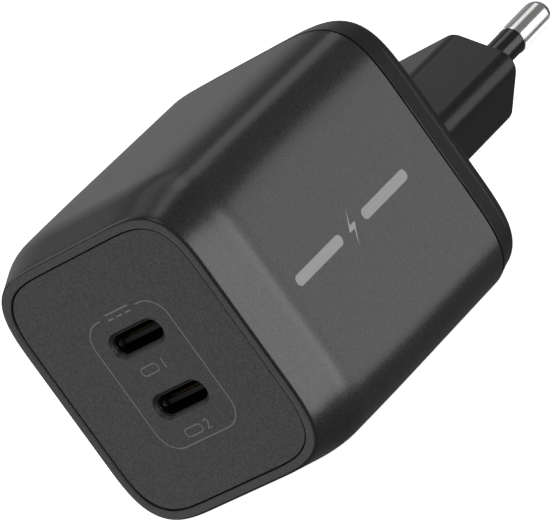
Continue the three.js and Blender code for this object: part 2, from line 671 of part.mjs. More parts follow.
const xBeside = CHOKE_RADIUS + CHOKE_TURN_COVER + MOUNT_GAP;
const boxWidth = uprightBoardWidth / 2 - xBeside;
const boxDepth = CAPACITOR_DIAMETER - MOUNT_GAP;
const boxHeight = deckHeight - MOUNT_GAP;
addPiece('x_capacitor', block(boxWidth, boxDepth, boxHeight, xBeside + boxWidth / 2, yDeck - boxDepth / 2,
  zUpperDeck + MOUNT_GAP + boxHeight / 2), boxResin);

addPiece('fuse', turnedAlongY([[0, 0], [FUSE_RADIUS, 0], [FUSE_RADIUS, FUSE_LENGTH], [0, FUSE_LENGTH]],
  -xBeside - FUSE_RADIUS, yDeck - FUSE_LENGTH, zUpperDeck + MOUNT_GAP + FUSE_RADIUS, SMALL_ROUND_STEPS), moulded);

const zDiscs = zUpperDeck + 2 * (MOUNT_GAP + FUSE_RADIUS) + DISC_RADIUS;
function dippedDisc(y) {
  const profile = [[0, 0], [DISC_RADIUS - DISC_ROUND, 0], [DISC_RADIUS, DISC_ROUND],
    [DISC_RADIUS, DISC_DEPTH - DISC_ROUND], [DISC_RADIUS - DISC_ROUND, DISC_DEPTH], [0, DISC_DEPTH]];
  return turnedAlongY(profile, -xBeside - DISC_RADIUS, y, zDiscs, SMALL_ROUND_STEPS);
}
addPiece('thermistor', dippedDisc(yDeck - DISC_DEPTH), thermistorResin);
addPiece('y_capacitor', dippedDisc(yDeck - 2 * DISC_DEPTH - MOUNT_GAP), discResin);

const zBridge = BODY_RISE + uprightBoardHeight / 2 - BRIDGE_TOP_GAP - BRIDGE_HEIGHT / 2;
addPiece('bridge_rectifier', block(BRIDGE_WIDTH, BRIDGE_DEPTH, BRIDGE_HEIGHT, 0,
  yInputBoardBack + MOUNT_GAP + BRIDGE_DEPTH / 2, zBridge), moulded);

// ---- parts on the back of the port board ----
const zCoils = zMainSeat + TRANSFORMER_HEIGHT;
const zController = zCoils - COIL_WIDTH / 2 - MOUNT_GAP - CONTROLLER_WIDTH / 2;
[-1, 1].forEach((side, index) => {
  const x = side * (COIL_WIDTH + COIL_GAP) / 2;
  addPiece(`output_inductor_${index + 1}`, block(COIL_WIDTH, COIL_DEPTH, COIL_WIDTH, x,
    yPortBoardBack + MOUNT_GAP + COIL_DEPTH / 2, zCoils), ferrite);
});
addPiece('port_controller', block(CONTROLLER_WIDTH, CHIP_HEIGHT, CONTROLLER_WIDTH, 0,
  yPortBoardBack + MOUNT_GAP + CHIP_HEIGHT / 2, zController), moulded);
addPiece('optocoupler', block(OPTOCOUPLER_WIDTH, OPTOCOUPLER_DEPTH, OPTOCOUPLER_HEIGHT, xSideColumn,
  yPortBoardBack + MOUNT_GAP + OPTOCOUPLER_DEPTH / 2, zController), moulded);

// ---- leads from the pins to the input board ----
function lead(side) {
  const yTail = yPlugFace - PIN_TAIL_LENGTH - MOUNT_GAP;
  const yBoard = yInputBoardBack + MOUNT_GAP;
  const xPad = side * LEAD_PAD_OFFSET;
  const zPad = BODY_RISE - LEAD_PAD_DROP;
  const route = new THREE.CubicBezierCurve3(
    new THREE.Vector3(pinCentre(side, yTail), yTail, 0),
    new THREE.Vector3(pinCentre(side, yTail), yTail - LEAD_BEND_AT_PIN, 0),
    new THREE.Vector3(xPad, yBoard + LEAD_BEND_AT_BOARD, zPad),
    new THREE.Vector3(xPad, yBoard, zPad));
  const section = new THREE.Shape(Array.from({ length: LEAD_SIDES },
    (_, corner) => new THREE.Vector2(LEAD_DIAMETER / 2, 0).rotateAround(
      new THREE.Vector2(), 2 * Math.PI * corner / LEAD_SIDES)));
  return new THREE.ExtrudeGeometry(section, { steps: LEAD_STEPS, extrudePath: route, bevelEnabled: false });
}
addPiece('lead_left', lead(-1), wireBlue);
addPiece('lead_right', lead(1), wireBrown);

// ---- heat spreader over the transformer and film under the main board ----
const spreaderHalfWidth = TRANSFORMER_WIDTH / 2 + MOUNT_GAP + SPREADER_THICKNESS;
const zSpreaderTop = zMainSeat + TRANSFORMER_HEIGHT + MOUNT_GAP + SPREADER_THICKNESS;
const zSpreaderFoot = zMainSeat + CORE_PLATE;
const bracket = [
  [spreaderHalfWidth, zSpreaderFoot], [spreaderHalfWidth, zSpreaderTop],
  [-spreaderHalfWidth, zSpreaderTop], [-spreaderHalfWidth, zSpreaderFoot],
  [SPREADER_THICKNESS - spreaderHalfWidth, zSpreaderFoot],
  [SPREADER_THICKNESS - spreaderHalfWidth, zSpreaderTop - SPREADER_THICKNESS],
  [spreaderHalfWidth - SPREADER_THICKNESS, zSpreaderTop - SPREADER_THICKNESS],
  [spreaderHalfWidth - SPREADER_THICKNESS, zSpreaderFoot]].map(([x, z]) => new THREE.Vector2(x, z));
addPiece('heat_spreader', new THREE.ExtrudeGeometry(new THREE.Shape(bracket),
  { depth: TRANSFORMER_DEPTH, bevelEnabled: false }).rotateX(Math.PI / 2)
  .translate(0, yTransformer + TRANSFORMER_DEPTH / 2, 0), aluminium);
addPiece('insulating_film', block(mainBoardWidth - 2 * BOARD_MARGIN,
  yMainBack - yMainFront - 2 * FILM_END_MARGIN, FILM_THICKNESS,
  0, yMainMiddle, zMainUnder - 2 * MOUNT_GAP - FILM_THICKNESS / 2), film);

export default charger;
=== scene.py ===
"""A two-port wall charger with a fixed two-pin plug, in the order in which it is put together.

Lengths are in millimetres until a mesh is made. +Y runs along the pins, +Z is up, the ports face -Y.
"""
import json
import math
import bmesh
import bpy
from mathutils import Matrix, Quaternion, Vector


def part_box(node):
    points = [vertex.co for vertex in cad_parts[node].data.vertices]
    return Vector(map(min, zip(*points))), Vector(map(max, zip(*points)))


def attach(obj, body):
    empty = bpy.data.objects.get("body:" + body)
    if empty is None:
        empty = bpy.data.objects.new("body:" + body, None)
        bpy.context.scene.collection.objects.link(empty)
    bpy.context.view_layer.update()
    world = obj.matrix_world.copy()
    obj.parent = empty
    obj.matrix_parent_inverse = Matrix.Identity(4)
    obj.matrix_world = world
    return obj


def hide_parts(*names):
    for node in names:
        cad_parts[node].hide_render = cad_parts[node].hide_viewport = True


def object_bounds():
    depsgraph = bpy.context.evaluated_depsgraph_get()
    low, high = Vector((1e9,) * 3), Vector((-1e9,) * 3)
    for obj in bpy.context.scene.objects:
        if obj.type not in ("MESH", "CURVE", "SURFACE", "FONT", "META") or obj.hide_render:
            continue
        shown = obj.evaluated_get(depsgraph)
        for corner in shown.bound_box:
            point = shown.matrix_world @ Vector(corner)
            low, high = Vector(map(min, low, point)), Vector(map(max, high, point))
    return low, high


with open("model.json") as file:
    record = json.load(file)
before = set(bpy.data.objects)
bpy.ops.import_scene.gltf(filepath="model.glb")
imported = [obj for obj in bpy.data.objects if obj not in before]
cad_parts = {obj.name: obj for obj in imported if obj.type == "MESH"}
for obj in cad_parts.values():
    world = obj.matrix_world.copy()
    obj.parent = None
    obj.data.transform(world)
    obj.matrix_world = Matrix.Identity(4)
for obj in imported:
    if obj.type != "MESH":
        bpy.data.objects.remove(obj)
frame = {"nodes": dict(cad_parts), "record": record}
cad_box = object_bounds()


# ---- housing shell ----
# The sleeve of the charger: one moulding in grained black plastic with a flared front, whose rim
# frames the port plate and whose ledge carries it. It is open at the back, where the cover's lip goes in.
MM = 0.001
FRONT_WIDTH, FRONT_HEIGHT = 34.1, 37.2
FRONT_REACH, FRONT_POWER = 11.0, 3.3
BODY_REACH, BODY_POWER = 15.5, 4.25
CREASE_POWER, CORNER_EASE = 3.8, 20.0
FLARE_LENGTH, FLARE_BLEND = 6.1, 1.8
FRONT_DROP = 0.18
WALL = 2.0
RIM_WIDTH = 1.3
RIM_OUTER_ROUND, RIM_INNER_ROUND = 0.38, 0.12
LEDGE_WIDTH, LEDGE_FRONT, LEDGE_BACK = 1.4, 2.05, 3.25
SEAM_ROUND = 0.14
SEAM_HALF_GAP = 0.09
SEAM_BEHIND_SHELL = 0.15
FIRST_FLARE_RING = 1.0
FLARE_STEPS, EASE_STEPS = 10, 6
MERGE_DISTANCE = 0.0005
CORNER_STEPS = 36


def span(node):
    """Lowest and highest corner of a CAD node, in millimetres."""
    low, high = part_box(node)
    return low / MM, high / MM


shell_low, shell_high = span("housing_shell")
body_width = shell_high.x - shell_low.x
body_height = shell_high.z - shell_low.z
body_rise = (shell_high.z + shell_low.z) / 2
front_rise = body_rise - FRONT_DROP
front_y = shell_low.y
cap_low, cap_high = span("rear_cover")
seam_y = shell_high.y + SEAM_BEHIND_SHELL


def soft_outline(width, height, reach, power, inset=0.0, steps=CORNER_STEPS):
    """Points (x, z) round a rectangle whose corners follow a superellipse."""
    reach -= inset
    points = []
    for quarter, (side_x, side_z) in enumerate([(1, 1), (-1, 1), (-1, -1), (1, -1)]):
        for step in range(steps + 1):
            angle = (quarter + step / steps) * math.pi / 2
            c, s = abs(math.cos(angle)), abs(math.sin(angle))
            radius = reach / (c**power + s**power) ** (1 / power)
            x = width / 2 - inset - reach + radius * c
            z = height / 2 - inset - reach + radius * s
            points.append((side_x * x, side_z * z))
    return points


def front_outline(inset=0.0):
    return soft_outline(FRONT_WIDTH, FRONT_HEIGHT, FRONT_REACH, FRONT_POWER, inset)


def body_outline(inset=0.0, power=BODY_POWER):
    return soft_outline(body_width, body_height, BODY_REACH, power, inset)


def ring(outline, y, rise=0.0):
    return [(x, y, z + rise) for x, z in outline]


def flare_ring(distance, inset):
    """The outline at a distance behind the front: it widens evenly, then eases into the straight sides.

    Its corners fill out more slowly than its sides.
    """
    start = FLARE_LENGTH - FLARE_BLEND
    if distance <= start:
        share = distance / FLARE_LENGTH
    else:
        along = min((distance - start) / (2 * FLARE_BLEND), 1.0)
        share = (start + 2 * FLARE_BLEND * (along - along * along / 2)) / FLARE_LENGTH
    filled = min(distance / CORNER_EASE, 1.0)
    power = CREASE_POWER + (BODY_POWER - CREASE_POWER) * filled * filled * (3 - 2 * filled)
    pairs = zip(front_outline(inset), body_outline(inset, power))
    outline = [(a + (c - a) * share, b + (d - b) * share) for (a, b), (c, d) in pairs]
    return ring(outline, front_y + distance, front_rise + FRONT_DROP * share)


def quarter_turn(radius, steps):
    """Inset and setback along a rounded edge, from the face in front of it to the side beside it."""
    angles = [math.pi / 2 * step / steps for step in range(steps + 1)]
    return [(radius * (1 - math.sin(a)), radius * (1 - math.cos(a))) for a in angles]


def loft(rings, looped=False):
    """A skin over rings of points in millimetres, closed on itself or by two flat ends."""
    count = len(rings[0])
    faces = []
    for band in range(len(rings) if looped else len(rings) - 1):
        here, there = band * count, (band + 1) % len(rings) * count
        for side in range(count):
            along = (side + 1) % count
            faces.append((here + side, here + along, there + along, there + side))
    if not looped:
        faces.append(tuple(range(count))[::-1])
        faces.append(tuple(range((len(rings) - 1) * count, len(rings) * count)))
    return mesh_from([point for points in rings for point in points], faces)


def mesh_from(points, faces):
    """A clean mesh in metres from points in millimetres."""
    mesh = bpy.data.meshes.new("shape")
    mesh.from_pydata([Vector(point) * MM for point in points], [], faces)
    return cleaned(mesh)


def cleaned(mesh):
    """The mesh with its doubled points merged and its faces turned out."""
    shape = bmesh.new()
    shape.from_mesh(mesh)
    bmesh.ops.remove_doubles(shape, verts=shape.verts, dist=MERGE_DISTANCE * MM)
    bmesh.ops.recalc_face_normals(shape, faces=shape.faces)
    shape.to_mesh(mesh)
    shape.free()
    return mesh


def merged(*meshes):
    """Several meshes as one, each keeping its own closed surface."""
    shape = bmesh.new()
    for mesh in meshes:
        shape.from_mesh(mesh)
    whole = bpy.data.meshes.new("shape")
    shape.to_mesh(whole)
    shape.free()
    return whole


def add_piece(name, mesh, finish, nodes=(), crease=35):
    """Puts a finished mesh into the scene, riding on the body and standing for its CAD nodes."""
    mesh.name = name
    mesh.shade_smooth()
    mesh.set_sharp_from_angle(angle=math.radians(crease))
    mesh.materials.clear()
    mesh.materials.append(finish)
    piece = bpy.data.objects.new(name, mesh)
    bpy.context.scene.collection.objects.link(piece)
    weighted = piece.modifiers.new("even_normals", "WEIGHTED_NORMAL")
    weighted.keep_sharp = True
    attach(piece, "root")
    if nodes:
        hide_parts(*nodes)
    return piece


class Link:
    """An output socket of some nodes; sums with it become Math nodes."""

    def __init__(self, nodes, socket):
        self.nodes = nodes
        self.socket = socket

    def sum(self, operation, left, right):
        return self.nodes.node("Math", {"operation": operation}, {0: left, 1: right})

    def __add__(self, other):
        return self.sum("ADD", self, other)

    def __mul__(self, other):
        return self.sum("MULTIPLY", self, other)

    __radd__ = __add__
    __rmul__ = __mul__


class Nodes:
    """The nodes of a material or of the surround, added one call at a time."""

    def __init__(self, owner):
        owner.use_nodes = True
        self.tree = owner.node_tree

    def plug(self, socket, value):
        if isinstance(value, Link):
            self.tree.links.new(value.socket, socket)
        else:
            socket.default_value = value

    def node(self, kind, settings, inputs, output=0):
        made = self.tree.nodes.new("ShaderNode" + kind)
        for name, value in settings.items():
            setattr(made, name, value)
        for name, value in inputs.items():
            self.plug(made.inputs[name], value)
        return Link(self, made.outputs[output])


class Finish(Nodes):
    """A material: constants are set on its shader, and what varies comes through nodes."""

    def __init__(self, name, **constants):
        self.material = bpy.data.materials.new(name)
        super().__init__(self.material)
        self.shader = self.tree.nodes["Principled BSDF"]
        for socket, value in constants.items():
            self.shader.inputs[socket.replace("_", " ")].default_value = value

    def place(self):
        """Where a point lies on the part, in metres."""
        return self.node("TexCoord", {}, {}, "Object")

    def noise(self, size, detail=2.0, stretch=(1, 1, 1)):
        """Soft random spots of a size in millimetres, from 0 to 1."""
        where = self.place()
        if stretch != (1, 1, 1):
            where = self.node("Mapping", {}, {"Vector": where, "Scale": stretch})
        return self.node("TexNoise", {}, {"Vector": where, "Scale": 1 / (size * MM), "Detail": detail})

    def grains(self, size):
        """Sharper spots of a size in millimetres, most of them near 0 or 1."""
        return self.node("MapRange", {}, {0: self.noise(size, 1.0), 1: 0.36, 2: 0.64})

    def blend(self, factor, first, second):
        return self.node("Mix", {"data_type": "RGBA"}, {0: factor, 6: (*first, 1), 7: (*second, 1)}, 2)

    def feed(self, **links):
        for socket, value in links.items():
            self.plug(self.shader.inputs[socket.replace("_", " ")], value)

    def relief(self, height, depth):
        """Raises and sinks the surface by up to a depth in millimetres."""
        self.feed(Normal=self.node("Bump", {}, {"Height": height, "Distance": depth * MM, "Strength": 1.0}))


def grained_plastic(name, dark, light, roughness, grain, depth, glint, **constants):
    """Spark-eroded plastic: fine grain in its relief and shine, faint mottling in its colour."""
    finish = Finish(name, Coat_Roughness=roughness, **constants)
    speckle = finish.grains(grain)
    cloud = finish.noise(7.0, 3.0)
    finish.feed(
        Base_Color=finish.blend(0.6 * speckle + 0.4 * cloud, dark, light),
        Roughness=roughness - 0.04 + 0.04 * speckle + 0.04 * cloud,
        Coat_Weight=glint * speckle,
    )
    finish.relief(speckle, depth)
    return finish.material


housing_rings = [ring(front_outline(RIM_WIDTH), front_y + LEDGE_FRONT, front_rise)]
for inset, setback in reversed(quarter_turn(RIM_INNER_ROUND, 3)):
    housing_rings.append(ring(front_outline(RIM_WIDTH - inset), front_y + setback, front_rise))
for inset, setback in quarter_turn(RIM_OUTER_ROUND, 5):
    housing_rings.append(flare_ring(setback, inset))
blend_start = FLARE_LENGTH - FLARE_BLEND
blend_end = FLARE_LENGTH + FLARE_BLEND
housing_rings.append(flare_ring(FIRST_FLARE_RING, 0))
for step in range(FLARE_STEPS + 1):
    housing_rings.append(flare_ring(blend_start + 2 * FLARE_BLEND * step / FLARE_STEPS, 0))
for step in range(1, EASE_STEPS + 1):
    housing_rings.append(flare_ring(blend_end + (CORNER_EASE - blend_end) * step / EASE_STEPS, 0))
housing_back = seam_y - SEAM_HALF_GAP
for inset, setback in reversed(quarter_turn(SEAM_ROUND, 3)):
    housing_rings.append(ring(body_outline(inset), housing_back - setback, body_rise))
housing_rings.append(ring(body_outline(WALL), housing_back, body_rise))
housing_rings.append(ring(body_outline(WALL), front_y + blend_end, body_rise))
housing_rings.append(flare_ring(LEDGE_BACK, WALL))
for ledge_y in (LEDGE_BACK, LEDGE_FRONT):
    housing_rings.append(ring(front_outline(RIM_WIDTH + LEDGE_WIDTH), front_y + ledge_y, front_rise))
housing_plastic = grained_plastic(
    "housing_plastic", (0.013, 0.013, 0.0132), (0.022, 0.022, 0.0225), 0.26, 0.26, 0.002, 0.15,
    Specular_IOR_Level=0.44,
)
add_piece("housing", loft(housing_rings, True), housing_plastic, ["housing_shell"])


# ---- port plate ----
# A flat plate in finely grained plastic, glued onto the ledge inside the rim. A thin open groove
# runs round it. Each oval slot has a countersunk front, and behind its lip it is wider for the socket.
PLATE_BEVEL = 0.1
PLATE_GROWTH = 0.19
SLOT_CLEARANCE = 0.16
SLOT_SINK, SLOT_SINK_DEPTH, SLOT_LIP = 0.26, 0.42, 0.1
SLOT_STEPS = 12
SLOT_END_FLAT = 0.001
CUT_OVERRUN = 1.0
plate_low, plate_high = span("port_plate")
sockets = [span(f"socket_shell_{number}") for number in (1, 2)]


def slot_outline(width, height):
    return soft_outline(width, height, height / 2 - SLOT_END_FLAT, 2, 0, SLOT_STEPS)


def plate_solid(loop, y_front, y_back, bevel):
    """A flat solid with bevelled edges from a closed outline."""
    curve = bpy.data.curves.new("outline", "CURVE")
    curve.dimensions = "2D"
    curve.fill_mode = "BOTH"
    curve.extrude = ((y_back - y_front) / 2 - bevel) * MM
    curve.bevel_depth = bevel * MM
    curve.bevel_resolution = 2
    curve.offset = -bevel * MM
    spline = curve.splines.new("POLY")
    spline.points.add(len(loop) - 1)
    for point, (x, z) in zip(spline.points, loop):
        point.co = (x * MM, z * MM, 0, 1)
    spline.use_cyclic_u = True
    return upright_solid(curve, 0, (y_front + y_back) / 2, 0)


def upright_solid(curve, x, y, z):
    """The mesh of a flat curve, stood up to face the front at a point."""
    stand_in = bpy.data.objects.new("stand_in", curve)
    bpy.context.scene.collection.objects.link(stand_in)
    mesh = evaluated_mesh(stand_in)
    bpy.data.objects.remove(stand_in)
    mesh.transform(Matrix.Translation((x * MM, y * MM, z * MM)) @ Matrix.Rotation(math.pi / 2, 4, "X"))
    return cleaned(mesh)


def evaluated_mesh(piece):
    """The mesh of an object with its modifiers applied."""
    bpy.context.view_layer.update()
    return bpy.data.meshes.new_from_object(piece.evaluated_get(bpy.context.evaluated_depsgraph_get()))


def moved(outline, x, z):
    return [(a + x, b + z) for a, b in outline]


def boolean(mesh, operation, *tools):
    """Joins or cuts closed meshes exactly."""
    solid = bpy.data.objects.new("solid", mesh)
    bpy.context.scene.collection.objects.link(solid)
    helpers = []
    for tool in tools:
        helper = bpy.data.objects.new("tool", tool)
        bpy.context.scene.collection.objects.link(helper)
        step = solid.modifiers.new("step", "BOOLEAN")
        step.operation = operation
        step.object = helper
        step.solver = "EXACT"
        helpers.append(helper)
    result = evaluated_mesh(solid)
    for helper in [solid, *helpers]:
        bpy.data.objects.remove(helper)
    return result


plate_width = plate_high.x - plate_low.x + 2 * PLATE_GROWTH
plate_height = plate_high.z - plate_low.z + 2 * PLATE_GROWTH
plate_reach = FRONT_REACH - (FRONT_WIDTH - plate_width) / 2
plate_loop = moved(soft_outline(plate_width, plate_height, plate_reach, FRONT_POWER), 0, front_rise)
slot_cuts = []
for low, high in sockets:
    centre = (low + high) / 2
    slope = (SLOT_SINK + SLOT_LIP) / SLOT_SINK_DEPTH
    rings = []
    levels = [
        (SLOT_SINK + slope * CUT_OVERRUN, -CUT_OVERRUN),
        (-SLOT_LIP, SLOT_SINK_DEPTH),
        (SLOT_CLEARANCE, SLOT_SINK_DEPTH),
        (SLOT_CLEARANCE, plate_high.y - plate_low.y + CUT_OVERRUN),
    ]
    for growth, depth in levels:
        slot = slot_outline(high.x - low.x + 2 * growth, high.z - low.z + 2 * growth)
        rings.append(ring(moved(slot, centre.x, centre.z), plate_low.y + depth))
    slot_cuts.append(loft(rings))
plate_plastic = grained_plastic(
    "plate_plastic", (0.016, 0.016, 0.0162), (0.030, 0.030, 0.0303), 0.42, 0.24, 0.004, 0.4,
    Specular_IOR_Level=0.38,
)
plate_blank = plate_solid(plate_loop, plate_low.y, plate_high.y, PLATE_BEVEL)
plate_mesh = boolean(plate_blank, "DIFFERENCE", *slot_cuts)
add_piece("port_panel", plate_mesh, plate_plastic, ["port_plate"], 40)


# ---- charging sockets ----
# Each socket is a drawn steel shell, black plated, with a rolled mouth and a bright spring leaf at each
# side. A moulded tongue stands in its middle on an insulator body and carries gold contact strips.
SHELL_THICKNESS, ROLL_STEPS = 0.28, 6
INSULATOR_LENGTH = 2.2
INSULATOR_CLEARANCE, INSULATOR_BEVEL = 0.15, 0.1
TONGUE_WIDTH, TONGUE_THICKNESS = 6.6, 0.7
TONGUE_ROOT, TONGUE_BEVEL = 0.3, 0.12
CONTACT_COUNT, CONTACT_PITCH, CONTACT_WIDTH = 12, 0.5, 0.28
CONTACT_LENGTH, CONTACT_SETBACK = 2.8, 0.7
CONTACT_PROUD, CONTACT_BEVEL = 0.03, 0.02
SPRING_HEIGHT, SPRING_SETBACK, SPRING_SEAT = 0.9, 0.7, 0.02
SPRING_PROFILE = [(0, 0), (0.07, 0.15), (0.08, 2.6), (0, 3.0)]

socket_steel = Finish("socket_steel", Metallic=0.85, Specular_IOR_Level=0.5)
drawn = socket_steel.noise(0.35, 3.0, (1, 0.12, 1))
socket_steel.feed(
    Base_Color=socket_steel.blend(drawn, (0.018, 0.018, 0.019), (0.034, 0.034, 0.036)),
    Roughness=0.16 + 0.14 * drawn,
)
socket_steel.relief(drawn, 0.002)
socket_resin = grained_plastic(
    "socket_resin", (0.004, 0.004, 0.004), (0.009, 0.0088, 0.0085), 0.55, 0.1, 0.002, 0.05,
    Specular_IOR_Level=0.12,
)
spring_steel = Finish("spring_steel", Metallic=1.0)
brushed = spring_steel.noise(0.12, 2.0, (1, 0.2, 1))
spring_steel.feed(
    Base_Color=spring_steel.blend(brushed, (0.62, 0.61, 0.59), (0.78, 0.77, 0.75)),
    Roughness=0.25 + 0.15 * brushed,
)
contact_gold = Finish("contact_gold", Metallic=1.0)
worn = contact_gold.noise(0.25)
contact_gold.feed(
    Base_Color=contact_gold.blend(worn, (0.30, 0.21, 0.09), (0.42, 0.31, 0.14)),
    Roughness=0.25 + 0.15 * worn,
)


def block(x_low, x_high, y_low, y_high, z_low, z_high, bevel):
    """A box with chamfered edges between two corners."""
    shape = bmesh.new()
    bmesh.ops.create_cube(shape, size=1.0)
    size = Vector((x_high - x_low, y_high - y_low, z_high - z_low)) * MM
    middle = Vector((x_high + x_low, y_high + y_low, z_high + z_low)) * MM / 2
    place = Matrix.Translation(middle) @ Matrix.Diagonal((*size, 1))
    bmesh.ops.transform(shape, matrix=place, verts=shape.verts)
    bmesh.ops.bevel(shape, geom=shape.edges, offset=bevel * MM, segments=2, affect="EDGES", profile=0.5)
    mesh = bpy.data.meshes.new("shape")
    shape.to_mesh(mesh)
    shape.free()
    return mesh


def mouth(low, high, inset, y):
    """The outline of the socket between two corners, drawn in by an inset."""
    slot = slot_outline(high.x - low.x - 2 * inset, high.z - low.z - 2 * inset)
    return ring(moved(slot, (low.x + high.x) / 2, (low.z + high.z) / 2), y)


for number, (low, high) in enumerate(sockets, 1):
    centre = (low + high) / 2
    roll = SHELL_THICKNESS / 2
    rings = [mouth(low, high, 0, high.y)]
    for step in range(ROLL_STEPS + 1):
        angle = math.pi * step / ROLL_STEPS
        rings.append(mouth(low, high, roll * (1 - math.cos(angle)), low.y + roll * (1 - math.sin(angle))))
    rings.append(mouth(low, high, SHELL_THICKNESS, high.y))
    add_piece(f"socket_mouth_{number}", loft(rings, True), socket_steel.material,
              [f"socket_shell_{number}"])
    springs = []
    for side in (-1, 1):
        outside = centre.x + side * ((high.x - low.x) / 2 - SHELL_THICKNESS + SPRING_SEAT)
        levels = [centre.z - SPRING_HEIGHT / 2, centre.z + SPRING_HEIGHT / 2]
        spring_y = low.y + SPRING_SETBACK
        rings = []
        for z in levels:
            rings.append([(outside - side * inward, spring_y + along, z) for inward, along in SPRING_PROFILE])
        springs.append(loft(rings))
    add_piece(f"socket_springs_{number}", merged(*springs), spring_steel.material)
    tongue_low, tongue_high = span(f"socket_tongue_{number}")
    body_front = tongue_high.y - INSULATOR_LENGTH
    reach = SHELL_THICKNESS + INSULATOR_CLEARANCE
    body_mesh = loft([
        mouth(low, high, reach, tongue_high.y),
        mouth(low, high, reach, body_front + INSULATOR_BEVEL),
        mouth(low, high, reach + INSULATOR_BEVEL, body_front),
    ])
    blade = block(
        centre.x - TONGUE_WIDTH / 2, centre.x + TONGUE_WIDTH / 2, tongue_low.y, body_front + TONGUE_ROOT,
        centre.z - TONGUE_THICKNESS / 2, centre.z + TONGUE_THICKNESS / 2, TONGUE_BEVEL,
    )
    add_piece(f"socket_insulator_{number}", merged(body_mesh, blade), socket_resin,
              [f"socket_tongue_{number}"])
    strips = []
    contact_y = tongue_low.y + CONTACT_SETBACK
    for index in range(CONTACT_COUNT):
        x = centre.x + (index - (CONTACT_COUNT - 1) / 2) * CONTACT_PITCH
        for side in (-1, 1):
            face = centre.z + side * TONGUE_THICKNESS / 2
            strips.append(block(
                x - CONTACT_WIDTH / 2, x + CONTACT_WIDTH / 2, contact_y, contact_y + CONTACT_LENGTH,
                face - CONTACT_PROUD, face + CONTACT_PROUD, CONTACT_BEVEL,
            ))
    add_piece(f"socket_contacts_{number}", merged(*strips), contact_gold.material)


# ---- parts inside ----
# Boards, transformer, capacitors, choke, chips, wires, spreader and film, in the shapes of the CAD model.
# They are soldered to the boards, which stand behind the ports and the cover and lie between them.
INNER_FINISHES = {
    "board_laminate": ((0.006, 0.05, 0.022), (0.012, 0.09, 0.04), 0.3, 0.0),
    "ferrite": ((0.02, 0.02, 0.022), (0.04, 0.04, 0.043), 0.6, 0.0),
    "bobbin_resin": ((0.01, 0.01, 0.011), (0.02, 0.02, 0.021), 0.45, 0.0),
    "winding_tape": ((0.55, 0.34, 0.02), (0.7, 0.46, 0.05), 0.3, 0.0),
    "capacitor_sleeve": ((0.012, 0.025, 0.06), (0.022, 0.04, 0.09), 0.3, 0.0),
    "bare_aluminium": ((0.6, 0.61, 0.63), (0.75, 0.76, 0.78), 0.35, 1.0),
    "chip_resin": ((0.008, 0.008, 0.009), (0.018, 0.018, 0.02), 0.5, 0.0),
    "thermistor_resin": ((0.015, 0.05, 0.025), (0.025, 0.07, 0.035), 0.45, 0.0),
    "disc_resin": ((0.02, 0.08, 0.28), (0.04, 0.12, 0.36), 0.35, 0.0),
    "box_resin": ((0.48, 0.36, 0.07), (0.6, 0.46, 0.12), 0.45, 0.0),
    "copper_wire": ((0.45, 0.14, 0.04), (0.6, 0.22, 0.07), 0.3, 1.0),
    "blue_insulation": ((0.015, 0.05, 0.2), (0.025, 0.07, 0.27), 0.45, 0.0),
    "brown_insulation": ((0.08, 0.028, 0.012), (0.12, 0.042, 0.018), 0.45, 0.0),
    "film": ((0.5, 0.42, 0.18), (0.65, 0.55, 0.25), 0.3, 0.0),
}
for row in frame["record"]["subparts"]:
    slot = row["material_slot"]
    if slot not in INNER_FINISHES:
        continue
    piece = frame["nodes"][row["node"]]
    dark, light, roughness, metallic = INNER_FINISHES[slot]
    finish = bpy.data.materials.get(slot + "_finish")
    if finish is None:
        finish = grained_plastic(slot + "_finish", dark, light, roughness, 0.4, 0.004, 0.1, Metallic=metallic)
    piece.data.materials.clear()
    piece.data.materials.append(finish)


# ---- rear cover ----
# The cap that closes the housing, in smooth black plastic, moulded in one with the six-sided plug
# block. A lip goes inside the housing, and the block's end face has a bore for each pin.
CAP_TAPER = 0.5
CAP_EDGE_STEPS = 14
JOIN_OVERLAP = 1.0
SEAM_STEP, SEAM_CLEARANCE = 0.35, 0.02
CAP_EDGE_RADIUS = 3.0
PLUG_LENGTH = 19.4
PLUG_VERTEX_WIDTH, PLUG_HEIGHT = 35.3, 13.4
PLUG_EDGE_RADIUS, PLUG_END_RADIUS = 2.5, 0.6
PLUG_WALL, PLUG_FACE_THICKNESS = 2.4, 3.2
LIP_CLEARANCE, LIP_THICKNESS = 0.3, 1.2
PIN_SPACING, PIN_LEAN = 19.0, math.radians(1.3)
BORE_RADIUS, BORE_FUNNEL = 2.0, 0.25
FUNNEL_START, FUNNEL_END = -0.2, 0.05
BORE_STEPS = 48


def rounded_polygon(corners, radius, steps=10):
    points = []
    for index, corner in enumerate(corners):
        corner = Vector(corner)
        before = (Vector(corners[index - 1]) - corner).normalized()
        after = (Vector(corners[(index + 1) % len(corners)]) - corner).normalized()
        half = before.angle(after) / 2
        middle = corner + (before + after).normalized() * radius / math.sin(half)
        spoke = corner + before * radius / math.tan(half) - middle
        sweep = math.pi - 2 * half
        for step in range(steps + 1):
            turn = Matrix.Rotation(sweep * step / steps, 2)
            points.append(tuple(middle + turn @ spoke))
    return points


def plug_outline(inset, radius):
    half_height = PLUG_HEIGHT / 2 - inset
    half_width = PLUG_VERTEX_WIDTH / 2 - inset * math.sqrt(2)
    flat = half_width - half_height
    corners = [(half_width, 0), (flat, half_height), (-flat, half_height),
               (-half_width, 0), (-flat, -half_height), (flat, -half_height)]
    return rounded_polygon(corners, radius)


def turned(profile, steps, x=0.0, y=0.0):
    """The rings of a turned solid lying along Y, from (radius, distance) pairs."""
    rings = []
    for radius, distance in profile:
        points = []
        for step in range(steps):
            angle = 2 * math.pi * step / steps
            points.append((x + radius * math.cos(angle), y + distance, radius * math.sin(angle)))
        rings.append(points)
    return rings


